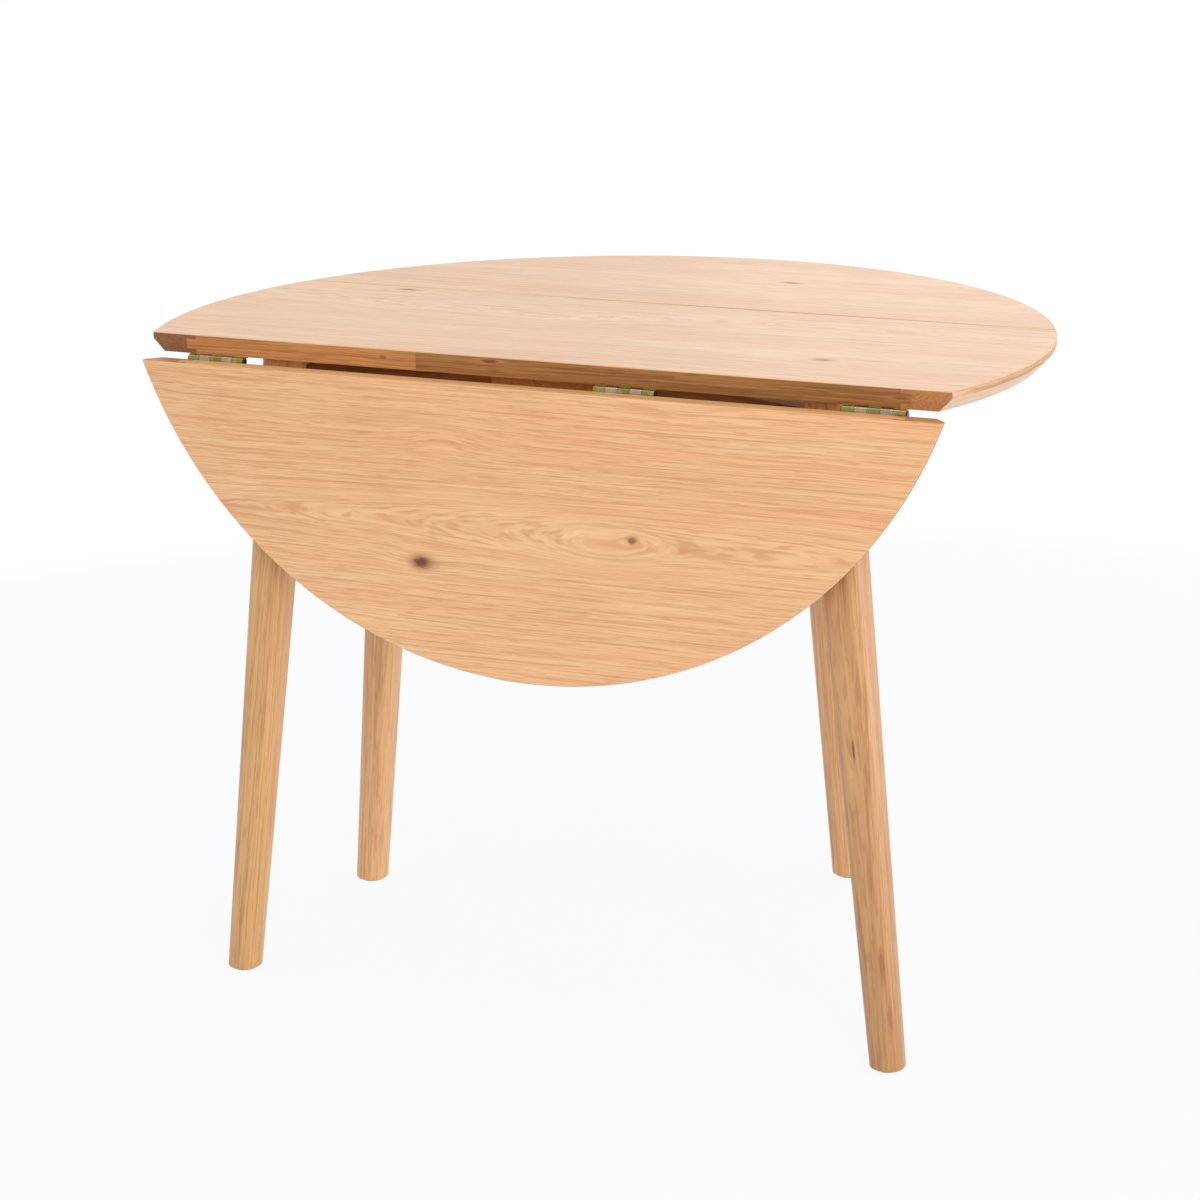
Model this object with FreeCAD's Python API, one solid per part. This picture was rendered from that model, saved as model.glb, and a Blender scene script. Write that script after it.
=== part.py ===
import FreeCAD, Part
import math
import os

from FreeCAD import Vector

# Round drop-leaf table in millimetres, +Z up, origin on the floor under the centre of the round top.
# X runs along the hinge lines and Y towards the raised back leaf. The front leaf hangs down.
# The pieces behind the X axis are drawn, and a half turn about Z gives those in front of it.

# Round top, cut into a centre panel and two leaves
top_diameter = 1000.0
table_height = 750.0
top_thickness = 21.0
panel_width = 350.0
leaf_gap = 1.5
edge_ease = 0.8
rim_land = 7.0
rim_bevel_run = 13.0

# Solid wood round the boards: curved rims, and straight edge strips with tongued ends
rim_width = 51.0
strip_depth = 22.0
strip_joint_share = 0.295
tongue_length = 12.0
tongue_height_share = 0.52

# Butt hinges under the top
hinge_length = 70.0
hinge_plate_width = 28.0
hinge_plate_thickness = 2.0
hinge_root_gap = 1.5
hinge_corner_radius = 4.0
hinge_seat_lift = 0.4
knuckle_diameter = 9.6
knuckle_count = 5
knuckle_end_clearance = 0.2
knuckle_clearance = 0.4
hinge_pin_diameter = 5.0
hinge_pin_head_diameter = 7.4
hinge_pin_head_height = 0.8
hinge_leg_gap = 6.4
hinge_hub_gap = 9.0

# Wood screws
screw_head_diameter = 8.0
screw_head_height = 1.8
screw_diameter = 4.0
screw_length = 16.0
screw_tip_length = 3.0
screw_slot_length = 4.6
screw_slot_width = 0.9
screw_slot_depth = 1.0
hinge_screw_end_inset = 11.0
hinge_screw_outer_share = 0.74
hinge_screw_inner_share = 0.46

# Hub that clamps the fixed rail and carries the two swing arms
pivot_x = 44.0
pivot_y = 30.0
hub_side_margin = 21.0
hub_end_inset = 25.0
hub_top_thickness = 18.0
hub_bottom_margin = 45.0
hub_bottom_thickness = 15.0
hub_corner_radius = 12.0
hub_edge_ease = 1.5
hub_screw_side_inset = 18.0
hub_screw_row_shares = (0.62, 0.87)
hub_bolt_diameter = 8.0
hub_bolt_head_diameter = 16.0
hub_bolt_head_height = 5.0
hub_bolt_offset = 30.0
hub_bolt_hex_width = 6.0
hub_bolt_hex_depth = 3.0

# Fixed rail and swing arms: the back leg is swung out under its leaf, and the front one is nearly folded away.
# Beyond the hub each arm rises nearer to the underside of the top.
rail_height = 62.0
rail_thickness = 28.0
rail_edge_round = 3.0
tenon_thickness = 12.0
tenon_height = 42.0
swing_angle = 54.5
front_leg_angle = 2.0
arm_rise = 9.0
arm_rise_start = 150.0

# Pivots of the swing arms
pivot_pin_diameter = 12.0
pivot_head_diameter = 22.0
pivot_head_height = 6.0
pivot_slot_width = 2.0
pivot_slot_depth = 2.0
bush_wall = 2.0
washer_diameter = 28.0
washer_thickness = 1.2
washer_play = 0.2
washer_bore_clearance = 0.3
running_clearance = 0.05

# Legs, rounded square at the top and nearly round at the foot. The insets are to a leg's outer faces at its top.
leg_inset_x = 123.4
leg_inset_y = 22.5
leg_splay_x = 78.5
leg_splay_y = 25.7
leg_top_width = 50.0
leg_top_corner = 14.0
leg_foot_width = 38.0
leg_foot_corner = 17.0
leg_foot_ease = 1.5
dowel_diameter = 10.0
dowel_length = 32.0
dowel_panel_depth = 12.0

# Felt under the feet and on the swing legs, and stops under the leaves
glide_diameter = 28.0
glide_thickness = 2.0
glide_stem_diameter = 5.0
glide_stem_length = 10.0
pad_diameter = 36.0
pad_thickness = 2.5
pad_clearance = 0.3
stop_length = 60.0
stop_width = 18.0
stop_height = 14.0
stop_edge_ease = 1.5
stop_clearance = 0.8
stop_screw_spacing_share = 0.56

# Cuts run past their faces by this much, and edges are found by their place within this much
overrun = 2.0
edge_match = 0.01

# Worked out from the sizes above
radius = top_diameter / 2
half_panel = panel_width / 2
leaf_edge_y = half_panel + leaf_gap
underside = table_height - top_thickness
chord_half = math.sqrt(radius ** 2 - half_panel ** 2)
core_radius = radius - rim_width
knuckle_radius = knuckle_diameter / 2
pin_radius = hinge_pin_diameter / 2
hinge_drop = knuckle_radius + hinge_seat_lift
hinge_y = half_panel + leaf_gap / 2
hinge_z = underside - hinge_drop
leg_x = chord_half - leg_inset_x - leg_top_width / 2
leg_y = half_panel - leg_inset_y - leg_top_width / 2
hub_half_x = pivot_x + hub_side_margin
hub_half_y = half_panel - hub_end_inset
rail_top = underside - hub_top_thickness
rail_bottom = rail_top - rail_height
rail_middle = (rail_top + rail_bottom) / 2
hinge_end_x = leg_x + leg_top_width / 2 + hinge_leg_gap + hinge_length / 2
hinge_middle_x = hub_half_x + hinge_hub_gap + hinge_length / 2
swing_leg_top = underside - pad_clearance - pad_thickness
up = Vector(0, 0, 1)
along = Vector(1, 0, 0)
pivot = Vector(pivot_x, pivot_y, 0)

os.makedirs("parts", exist_ok=True)


def box(x_range, y_range, z_range):
    """A block between pairs of limits."""
    low = Vector(x_range[0], y_range[0], z_range[0])
    return Part.makeBox(x_range[1] - x_range[0], y_range[1] - y_range[0], z_range[1] - z_range[0], low)


def disc(r, z_range, centre=Vector()):
    """An upright cylinder about a point."""
    return Part.makeCylinder(r, z_range[1] - z_range[0], Vector(centre.x, centre.y, z_range[0]), up)


def rod(r, x_range):
    """A cylinder along X."""
    return Part.makeCylinder(r, x_range[1] - x_range[0], Vector(x_range[0], 0, 0), along)


def both(length):
    """Limits at equal distances on both sides of zero."""
    return (-length / 2, length / 2)


def turned(shape, angle, centre=Vector(), axis=up):
    """A turned copy."""
    copy = shape.copy()
    copy.rotate(centre, axis, angle)
    return copy


def moved(shape, offset):
    """A moved copy."""
    copy = shape.copy()
    copy.translate(offset)
    return copy


def half_turn(shape):
    """The same piece on the other side of the table."""
    return turned(shape, 180)


def fold_down(shape):
    """A raised front piece turned to where it hangs."""
    return turned(shape, 90, Vector(0, -hinge_y, hinge_z), along)


def group(shapes):
    """Several separate solids as one shape."""
    return Part.makeCompound([solid for shape in shapes for solid in shape.Solids])


def write(name, shape):
    """One file per piece."""
    solids = shape.Solids
    result = solids[0] if len(solids) == 1 else Part.makeCompound(solids)
    result.exportStep("parts/" + name + ".step")


def round_blank():
    """The whole round top, with a rounded upper edge and a long bevel under the rim."""
    bevel_z = table_height - rim_land
    corner = Vector(radius - edge_ease, 0, table_height - edge_ease)
    diagonal = edge_ease * math.sqrt(2) / 2
    lower = Vector(radius, 0, table_height - edge_ease)
    middle = corner + Vector(diagonal, 0, diagonal)
    upper = Vector(radius - edge_ease, 0, table_height)
    outline = [upper, Vector(0, 0, table_height), Vector(0, 0, underside),
               Vector(radius - rim_bevel_run, 0, underside), Vector(radius, 0, bevel_z), lower]
    edges = [Part.makeLine(a, b) for a, b in zip(outline, outline[1:])]
    edges.append(Part.Arc(lower, middle, upper).toShape())
    return Part.Face(Part.Wire(edges)).revolve(Vector(), up, 360)


def slab(y_low, y_high, eased_high):
    """A long bar with its straight upper edges eased, to cut a board from the round blank."""
    low, high = underside - overrun, table_height
    section = [Vector(0, y_low, low), Vector(0, y_low, high - edge_ease), Vector(0, y_low + edge_ease, high)]
    if eased_high:
        section += [Vector(0, y_high - edge_ease, high), Vector(0, y_high, high - edge_ease)]
    else:
        section += [Vector(0, y_high, high)]
    section += [Vector(0, y_high, low)]
    bar = Part.Face(Part.makePolygon(section + section[:1])).extrude(Vector(2 * (radius + overrun), 0, 0))
    return moved(bar, Vector(-radius - overrun, 0, 0))


def strip_block(y_low, y_high, board_edge):
    """The space of an edge strip: its length between the rims, and a tongue at each end."""
    end = math.sqrt(core_radius ** 2 - board_edge ** 2)
    tongue_height = top_thickness * tongue_height_share
    tongue_low = underside + (top_thickness - tongue_height) / 2
    body = box((-end, end), (y_low, y_high), (underside - overrun, table_height + overrun))
    tongue_end = end + tongue_length
    tongue = box((-tongue_end, tongue_end), (y_low, y_high), (tongue_low, tongue_low + tongue_height))
    return body.fuse(tongue)


def screw(length):
    """A countersunk cross-slot screw that points up, its head face at zero."""
    head_radius, shank_radius = screw_head_diameter / 2, screw_diameter / 2
    shank_end = length - screw_tip_length
    head = Part.makeCone(head_radius, shank_radius, screw_head_height)
    shank = disc(shank_radius, (0, shank_end))
    tip = moved(Part.makeCone(shank_radius, 0, screw_tip_length), Vector(0, 0, shank_end))
    slot = box(both(screw_slot_length), both(screw_slot_width), (-overrun, screw_slot_depth))
    slots = slot.fuse(turned(slot, 90))
    return head.fuse([shank, tip]).cut(slots).removeSplitter()


def screw_hole(length):
    """The space that a screw fills, without its cross slot."""
    head = Part.makeCone(screw_head_diameter / 2, screw_diameter / 2, screw_head_height)
    shank_end = length - screw_tip_length
    shank = disc(screw_diameter / 2, (0, shank_end))
    tip = moved(Part.makeCone(screw_diameter / 2, 0, screw_tip_length), Vector(0, 0, shank_end))
    return head.fuse([shank, tip]).removeSplitter()


def hinge_screw_places(side):
    """Screws of one hinge plate, three in a zigzag, on the side of the pin given as 1 or -1."""
    end = hinge_length / 2 - hinge_screw_end_inset
    outer = side * hinge_plate_width * hinge_screw_outer_share
    inner = side * hinge_plate_width * hinge_screw_inner_share
    z = hinge_drop - hinge_plate_thickness
    return [Vector(-end, outer, z), Vector(0, inner, z), Vector(end, outer, z)]


def hinge_plate(side, first_knuckle, bore_radius):
    """One hinge plate about a pin along X at the origin, with every second knuckle."""
    pitch = hinge_length / knuckle_count
    y_range = sorted((side * hinge_root_gap / 2, side * hinge_plate_width))
    z_range = (hinge_drop - hinge_plate_thickness, hinge_drop)
    plate = box(both(hinge_length), y_range, z_range)
    outer_corners = [e for e in plate.Edges if abs(e.BoundBox.ZLength - hinge_plate_thickness) < edge_match
                     and abs(e.CenterOfMass.y - side * hinge_plate_width) < edge_match]
    plate = plate.makeFillet(hinge_corner_radius, outer_corners)
    notch_y = sorted((-side * overrun, side * (knuckle_radius + knuckle_clearance)))
    knuckles, notches = [], []
    for index in range(knuckle_count):
        start = -hinge_length / 2 + index * pitch
        if index % 2 == first_knuckle:
            knuckles.append(rod(knuckle_radius, (start + knuckle_end_clearance, start + pitch - knuckle_end_clearance)))
        else:
            notches.append(box((start - knuckle_end_clearance, start + pitch + knuckle_end_clearance),
                               notch_y, (z_range[0] - overrun, z_range[1] + overrun)))
    bore = rod(bore_radius, both(hinge_length + overrun))
    holes = [moved(screw_hole(screw_length), place) for place in hinge_screw_places(side)]
    return plate.cut(notches).fuse(knuckles).cut([bore] + holes).removeSplitter()


def hinge_pin():
    """A hinge pin with a flat head at each end."""
    end = hinge_length / 2
    head_end = end + hinge_pin_head_height
    head_radius = hinge_pin_head_diameter / 2
    heads = [rod(head_radius, (end, head_end)), rod(head_radius, (-head_end, -end))]
    return rod(pin_radius, both(hinge_length)).fuse(heads).removeSplitter()


def leg_section(z, ease=0):
    """The leg's rounded square at a height, which shrinks and moves out towards the foot, less an ease all round."""
    share = 1 - z / underside
    x = leg_x + leg_splay_x * share
    y = leg_y + leg_splay_y * share
    half = (leg_top_width + (leg_foot_width - leg_top_width) * share) / 2 - ease
    corner = leg_top_corner + (leg_foot_corner - leg_top_corner) * share - ease
    flat = half - corner
    edges = []
    for quarter in range(4):
        start = math.radians(90 * quarter)
        middle = start + math.radians(45)
        end = start + math.radians(90)
        sign_x = 1 if quarter in (0, 3) else -1
        sign_y = 1 if quarter in (0, 1) else -1
        centre = Vector(x + sign_x * flat, y + sign_y * flat, z)
        points = [centre + Vector(math.cos(a), math.sin(a), 0) * corner for a in (start, middle, end)]
        if edges:
            edges.append(Part.makeLine(edges[-1].lastVertex().Point, points[0]))
        edges.append(Part.Arc(*points).toShape())
    edges.append(Part.makeLine(edges[-1].lastVertex().Point, edges[0].firstVertex().Point))
    return Part.Wire(edges)


def leg_centre(z):
    """The middle of the leg at a height."""
    share = 1 - z / underside
    return Vector(leg_x + leg_splay_x * share, leg_y + leg_splay_y * share, z)


def leg_blank(top):
    """The leg before its mortise, standing on its glide, with an eased foot."""
    foot = leg_section(glide_thickness, leg_foot_ease)
    return Part.makeLoft([foot, leg_section(glide_thickness + leg_foot_ease), leg_section(top)], True, True)


def glide():
    """A felt glide with a stem that goes up into the foot."""
    centre = leg_centre(glide_thickness)
    stem_top = glide_thickness + glide_stem_length
    stem = disc(glide_stem_diameter / 2, (0, stem_top), centre)
    return disc(glide_diameter / 2, (0, glide_thickness), centre).fuse(stem).removeSplitter()


def bar(x_range, z_range):
    """A rail along X with its long edges rounded."""
    block = box(x_range, both(rail_thickness), z_range)
    length = x_range[1] - x_range[0]
    long_edges = [e for e in block.Edges if abs(e.BoundBox.XLength - length) < edge_match]
    return block.makeFillet(rail_edge_round, long_edges)


def tenon(length):
    """The tongue at a rail's end, which reaches to the middle of the leg."""
    z_range = (rail_middle - tenon_height / 2, rail_middle + tenon_height / 2)
    return box((length - leg_top_width, length), both(tenon_thickness), z_range)


def eased_below(shape, ease):
    """A block with the edges of its lower face eased."""
    low = shape.BoundBox.ZMin
    lower_edges = [e for e in shape.Edges if abs(e.BoundBox.ZMax - low) < edge_match]
    return shape.makeChamfer(ease, lower_edges)


def rounded_plate(half_x, half_y, z_range):
    """A flat board with rounded corners and an eased lower edge."""
    plate = box((-half_x, half_x), (-half_y, half_y), z_range)
    uprights = [e for e in plate.Edges if abs(e.BoundBox.ZLength - (z_range[1] - z_range[0])) < edge_match]
    return eased_below(plate.makeFillet(hub_corner_radius, uprights), hub_edge_ease)


def build_boards():
    """Boards, strips and rims of the centre panel and of one raised leaf at the back."""
    blank = round_blank()
    z_range = (underside - overrun, table_height + overrun)
    reach = radius + overrun
    core = disc(core_radius, z_range)
    centre_slice = blank.common(slab(-half_panel, half_panel, True))
    core_y = half_panel - strip_depth
    panel = centre_slice.common(core.common(box((-reach, reach), (-core_y, core_y), z_range)))
    strip = centre_slice.common(strip_block(core_y, half_panel + overrun, half_panel))
    rims = centre_slice.cut([panel, strip, half_turn(strip)])
    right_rim = rims.common(box((0, reach), (-reach, reach), z_range))
    joint_x = chord_half * strip_joint_share
    strip_right = strip.common(box((joint_x, reach), (0, reach), z_range))
    strip_left = strip.common(box((-reach, joint_x), (0, reach), z_range))
    leaf_slice = blank.common(slab(leaf_edge_y, reach, False))
    leaf_core_y = leaf_edge_y + strip_depth
    leaf_panel = leaf_slice.common(core.common(box((-reach, reach), (leaf_core_y, reach), z_range)))
    leaf_strip = leaf_slice.common(strip_block(leaf_edge_y - overrun, leaf_core_y, leaf_edge_y))
    leaf_rim = leaf_slice.cut([leaf_panel, leaf_strip])
    return panel, strip_left, strip_right, right_rim, leaf_panel, leaf_strip, leaf_rim


def build_stop():
    """The block under a raised leaf that the swung leg meets, with its screws and their holes."""
    face = leg_y + leg_top_width / 2 + stop_clearance
    y_range = (face, face + stop_width)
    block = box((leg_x - stop_length / 2, leg_x + stop_length / 2), y_range, (underside - stop_height, underside))
    block = eased_below(block, stop_edge_ease)
    spread = stop_length * stop_screw_spacing_share / 2
    length = stop_height + screw_length - screw_tip_length
    places = [Vector(leg_x + side * spread, (y_range[0] + y_range[1]) / 2, underside - stop_height)
              for side in (-1, 1)]
    screws = group(moved(screw(length), place) for place in places)
    holes = group(moved(screw_hole(length), place) for place in places)
    return [turned(shape, swing_angle, pivot) for shape in (block.cut(holes), screws, holes)]


def build_swing_leg():
    """A swing arm with its leg, pad, glide and bush, folded away under the centre panel."""
    end = leg_centre(rail_middle) - pivot
    length = math.hypot(end.x, end.y)
    angle = math.degrees(math.atan2(end.y, end.x))
    z_range = (rail_bottom + washer_thickness + washer_play, rail_top - washer_thickness - washer_play)
    bush_radius = pivot_pin_diameter / 2 + running_clearance + bush_wall
    blank = leg_blank(swing_leg_top)
    tongue = moved(turned(tenon(length), angle), pivot)
    rise = bar((arm_rise_start, length), (rail_middle, z_range[1] + arm_rise))
    arm = bar((0, length), z_range).fuse([rise, disc(rail_thickness / 2, z_range)])
    arm = arm.cut(disc(bush_radius, (rail_bottom, rail_top)))
    arm = moved(turned(arm, angle), pivot).cut(blank).fuse(tongue).removeSplitter()
    leg = blank.cut([tongue, glide()])
    bush = disc(bush_radius, z_range, pivot)
    bush = bush.cut(disc(pivot_pin_diameter / 2 + running_clearance, (rail_bottom, rail_top), pivot))
    pad = disc(pad_diameter / 2, (swing_leg_top, swing_leg_top + pad_thickness), leg_centre(swing_leg_top))
    return {"swing_arm": arm, "leg": leg, "glide": glide(), "leg_pad": pad, "pivot_bush": bush}


def build_fixed_base():
    """The fixed rail between two legs, with one leg, its glide and its dowel in place at the right back."""
    end = leg_centre(rail_middle)
    length = math.hypot(end.x, end.y)
    angle = math.degrees(math.atan2(end.y, end.x))
    blank = leg_blank(underside)
    tongue = turned(tenon(length), angle)
    rail = turned(bar((-length, length), (rail_bottom, rail_top)), angle)
    rail = rail.cut([blank, half_turn(blank)]).fuse([tongue, half_turn(tongue)]).removeSplitter()
    dowel_top = underside + dowel_panel_depth
    dowel = disc(dowel_diameter / 2, (dowel_top - dowel_length, dowel_top), leg_centre(underside))
    leg = blank.cut([tongue, glide(), dowel])
    return rail, leg, glide(), dowel


def mirrored(shape):
    """The same piece on the other side of the YZ plane."""
    return shape.mirror(Vector(), along)


def build_hub(rail_angle):
    """Hub boards with their screws, bolts, pivot pins and washers."""
    bottom_low = rail_bottom - hub_bottom_thickness
    top_board = rounded_plate(hub_half_x, hub_half_y, (rail_top, underside))
    bottom_board = rounded_plate(hub_half_x, pivot_y + hub_bottom_margin, (bottom_low, rail_bottom))
    screw_x = hub_half_x - hub_screw_side_inset
    length = hub_top_thickness + screw_length - screw_tip_length
    places = [Vector(side * screw_x, end * hub_half_y * share, rail_top)
              for side in (-1, 1) for end in (-1, 1) for share in hub_screw_row_shares]
    screws = group(moved(screw(length), place) for place in places)
    screw_holes = group(moved(screw_hole(length), place) for place in places)

    bolt_low = bottom_low - hub_bolt_head_height
    bolt_centre = turned(Part.Vertex(hub_bolt_offset, 0, 0), rail_angle).Point
    bolt_shank = disc(hub_bolt_diameter / 2, (bottom_low, underside), bolt_centre)
    bolt_head = disc(hub_bolt_head_diameter / 2, (bolt_low, bottom_low), bolt_centre)
    hexagon = Part.makePolygon([Vector(math.cos(a), math.sin(a), 0) * (hub_bolt_hex_width / math.sqrt(3))
                                for a in (math.radians(60 * k) for k in range(7))])
    socket = Part.Face(hexagon).extrude(Vector(0, 0, overrun + hub_bolt_hex_depth))
    socket = moved(socket, bolt_centre + Vector(0, 0, bolt_low - overrun))
    bolt = bolt_shank.fuse(bolt_head).cut(socket).removeSplitter()
    bolts = group([bolt, half_turn(bolt)])

    pin_low = bottom_low - pivot_head_height
    pin_shank = disc(pivot_pin_diameter / 2, (bottom_low, underside), pivot)
    pin_head = disc(pivot_head_diameter / 2, (pin_low, bottom_low), pivot)
    slot = box(both(pivot_head_diameter + overrun), both(pivot_slot_width), (-overrun, pivot_slot_depth))
    pin = pin_shank.fuse(pin_head).cut(moved(slot, pivot + Vector(0, 0, pin_low))).removeSplitter()
    bore = disc(pivot_pin_diameter / 2 + washer_bore_clearance, (rail_bottom, rail_top), pivot)
    washer_ranges = [(rail_bottom, rail_bottom + washer_thickness), (rail_top - washer_thickness, rail_top)]
    washers = [disc(washer_diameter / 2, z_range, pivot).cut(bore) for z_range in washer_ranges]
    washers += [half_turn(washer) for washer in washers]

    shanks = [bolt_shank, half_turn(bolt_shank), pin_shank, half_turn(pin_shank)]
    top_board = top_board.cut(shanks + [screw_holes])
    bottom_board = bottom_board.cut(shanks)
    return top_board, bottom_board, screws, screw_holes, bolts, pin, group(washers)


def write_top():
    """Write the boards, the hinges and everything screwed to the boards."""
    panel, strip_left, strip_right, right_rim, leaf_panel, leaf_strip, leaf_rim = build_boards()
    hub_holes = build_hub(fixed_angle())[3]
    dowel = mirrored(build_fixed_base()[3])
    stop, stop_screws, stop_holes = build_stop()
    centres = {"right": hinge_end_x, "middle": -hinge_middle_x, "left": -hinge_end_x}
    opposite = {"right": "left", "middle": "middle", "left": "right"}
    panel_plate = hinge_plate(-1, 0, pin_radius)
    leaf_plate = hinge_plate(1, 1, pin_radius + running_clearance)
    panel_screws, leaf_screws, panel_holes, leaf_holes, pins = [], [], [], [], []
    for name, x in centres.items():
        seat = Vector(x, hinge_y, hinge_z)
        plate_at_panel = moved(panel_plate, seat)
        plate_at_leaf = moved(leaf_plate, seat)
        write("back_" + name + "_hinge_panel_plate", plate_at_panel)
        write("back_" + name + "_hinge_leaf_plate", plate_at_leaf)
        write("front_" + opposite[name] + "_hinge_panel_plate", half_turn(plate_at_panel))
        write("front_" + opposite[name] + "_hinge_leaf_plate", fold_down(half_turn(plate_at_leaf)))
        pins.append(moved(hinge_pin(), seat))
        panel_places = [place + seat for place in hinge_screw_places(-1)]
        leaf_places = [place + seat for place in hinge_screw_places(1)]
        panel_screws += [moved(screw(screw_length), place) for place in panel_places]
        leaf_screws += [moved(screw(screw_length), place) for place in leaf_places]
        panel_holes += [moved(screw_hole(screw_length), place) for place in panel_places]
        leaf_holes += [moved(screw_hole(screw_length), place) for place in leaf_places]
    back_pins = group(pins)
    write("back_hinge_pins", back_pins)
    write("front_hinge_pins", half_turn(back_pins))
    write("panel_hinge_screws", group(panel_screws + [half_turn(s) for s in panel_screws]))
    back_leaf_screws = group(leaf_screws)
    write("back_leaf_hinge_screws", back_leaf_screws)
    write("front_leaf_hinge_screws", fold_down(half_turn(back_leaf_screws)))

    back_holes = group(panel_holes)
    right_rim = right_rim.cut([back_holes, half_turn(back_holes)])
    write("centre_panel", panel.cut([back_holes, half_turn(back_holes), hub_holes, dowel, half_turn(dowel)]))
    write("back_edge_left", strip_left.cut(back_holes))
    write("back_edge_right", strip_right.cut(back_holes))
    write("front_edge_right", half_turn(strip_left.cut(back_holes)))
    write("front_edge_left", half_turn(strip_right.cut(back_holes)))
    write("right_rim", right_rim)
    write("left_rim", half_turn(right_rim))

    all_leaf_holes = leaf_holes + [stop_holes]
    leaf_pieces = {
        "panel": leaf_panel.cut(all_leaf_holes),
        "edge": leaf_strip.cut(all_leaf_holes),
        "rim": leaf_rim.cut(all_leaf_holes),
        "stop": stop,
        "stop_screws": stop_screws,
    }
    for name, shape in leaf_pieces.items():
        write("back_leaf_" + name, shape)
        write("front_leaf_" + name, fold_down(half_turn(shape)))


def fixed_angle():
    """The fixed rail's direction, which runs from the left back leg to the right front one."""
    end = leg_centre(rail_middle)
    return -math.degrees(math.atan2(end.y, end.x))


def write_base():
    """Write the legs, rails, swing arms and hub."""
    rail, fixed_leg, foot_glide, dowel = build_fixed_base()
    bolts = build_hub(fixed_angle())[4]
    left_leg = mirrored(fixed_leg)
    left_dowel = mirrored(dowel)
    left_glide = mirrored(foot_glide)
    shanks = [disc(hub_bolt_diameter / 2, (rail_bottom, rail_top), solid.CenterOfMass) for solid in bolts.Solids]
    write("fixed_rail", mirrored(rail).cut(shanks))
    write("back_left_leg", left_leg)
    write("front_right_leg", half_turn(left_leg))
    write("back_left_glide", left_glide)
    write("front_right_glide", half_turn(left_glide))
    write("leg_dowels", group([left_dowel, half_turn(left_dowel)]))

    swing = build_swing_leg()
    names = {"leg": "{}_leg", "glide": "{}_glide"}
    for name, shape in swing.items():
        back_name = names.get(name, "back_" + name).format("back_right")
        front_name = names.get(name, "front_" + name).format("front_left")
        write(back_name, turned(shape, swing_angle, pivot))
        write(front_name, half_turn(turned(shape, front_leg_angle, pivot)))

    top_board, bottom_board, screws, _, bolts, pin, washers = build_hub(fixed_angle())
    write("hub_top_plate", top_board)
    write("hub_bottom_plate", bottom_board)
    write("hub_screws", screws)
    write("hub_bolts", bolts)
    write("back_pivot_pin", pin)
    write("front_pivot_pin", half_turn(pin))
    write("pivot_washers", washers)


write_top()
write_base()
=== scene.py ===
import math

import bmesh
import bpy
from mathutils import Matrix, Vector


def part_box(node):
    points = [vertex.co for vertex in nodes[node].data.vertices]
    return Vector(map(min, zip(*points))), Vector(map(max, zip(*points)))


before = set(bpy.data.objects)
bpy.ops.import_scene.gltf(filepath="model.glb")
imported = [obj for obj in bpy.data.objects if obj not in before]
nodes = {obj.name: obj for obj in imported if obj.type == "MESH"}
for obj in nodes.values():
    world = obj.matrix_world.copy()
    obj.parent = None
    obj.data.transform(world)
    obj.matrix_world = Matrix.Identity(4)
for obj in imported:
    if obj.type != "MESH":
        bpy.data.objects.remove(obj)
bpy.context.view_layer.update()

# A round oak drop-leaf table in metres: X along the hinge lines, Y towards the raised leaf, Z up.
# Every piece is a CAD node that keeps its shape, and the looks are in the materials below.

# Places read from the frame
top_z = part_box("centre_panel")[1].z
top_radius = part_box("right_rim")[1].x
leaf_face_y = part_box("front_leaf_panel")[0].y
leaf_centre_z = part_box("front_leaf_rim")[0].z + top_radius
edge_face_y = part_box("front_edge_left")[0].y

# Camera, fitted to the rim, the hinge line and the feet in the photograph
camera_place = Vector((1.4978, -3.2224, 1.4284))
camera_yaw = math.radians(25.01)
camera_pitch = math.radians(15.52)
camera_roll = math.radians(-0.94)
camera_focal_pixels = 3265.0
camera_clip_end = 50.0
photo_width_pixels = 1200.0
sensor_width_mm = 36.0

# Light: the lamps, and the white room as surfaces see it, which looks dimmer towards the front in gloss
white = (1.0, 1.0, 1.0, 1.0)
room_tint = (0.97, 0.985, 1.0, 1.0)
room_light = 0.62
room_front_gloss = 0.45
room_turn_limits = (-0.5, 0.4)
key_power = 48.0
side_power = 34.0
back_power = 9.5
back_tint = (0.95, 0.97, 1.0)
above_power = 16.0

# Floor, which glows white and keeps a share of matt shadow near the table
floor_half_size = 9.0
floor_matt = (0.86, 0.88, 0.93, 1.0)
floor_glow_tint = (0.985, 0.988, 1.0, 1.0)
floor_glow_share = 0.92
floor_shadow_reach = 1.1

# Directions
right = Vector((1, 0, 0))
back = Vector((0, 1, 0))
front = Vector((0, -1, 0))
up = Vector((0, 0, 1))


def colour(red, green, blue):
    """A colour written as a screen shows it, from 0 to 255, for a shader."""
    levels = [level / 255 for level in (red, green, blue)]
    linear = [x / 12.92 if x <= 0.04045 else ((x + 0.055) / 1.055) ** 2.4 for x in levels]
    return (*linear, 1.0)


def add(tree, kind, **settings):
    """A new node with its settings."""
    made = tree.nodes.new(kind)
    for name, value in settings.items():
        setattr(made, name, value)
    return made


def give(tree, socket, value):
    """Feed a socket from another socket, or set its value."""
    if isinstance(value, bpy.types.NodeSocket):
        tree.links.new(value, socket)
    else:
        socket.default_value = value


def calc(tree, operation, *values):
    """The result of a sum on numbers."""
    made = add(tree, "ShaderNodeMath", operation=operation)
    for socket, value in zip(made.inputs, values):
        give(tree, socket, value)
    return made.outputs[0]


def scaled(tree, value, share):
    """A number times another."""
    return calc(tree, "MULTIPLY", value, share)


def swing(tree, value, reach):
    """Noise about 0.5 as a swing about zero."""
    return scaled(tree, calc(tree, "SUBTRACT", value, 0.5), reach)


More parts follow.
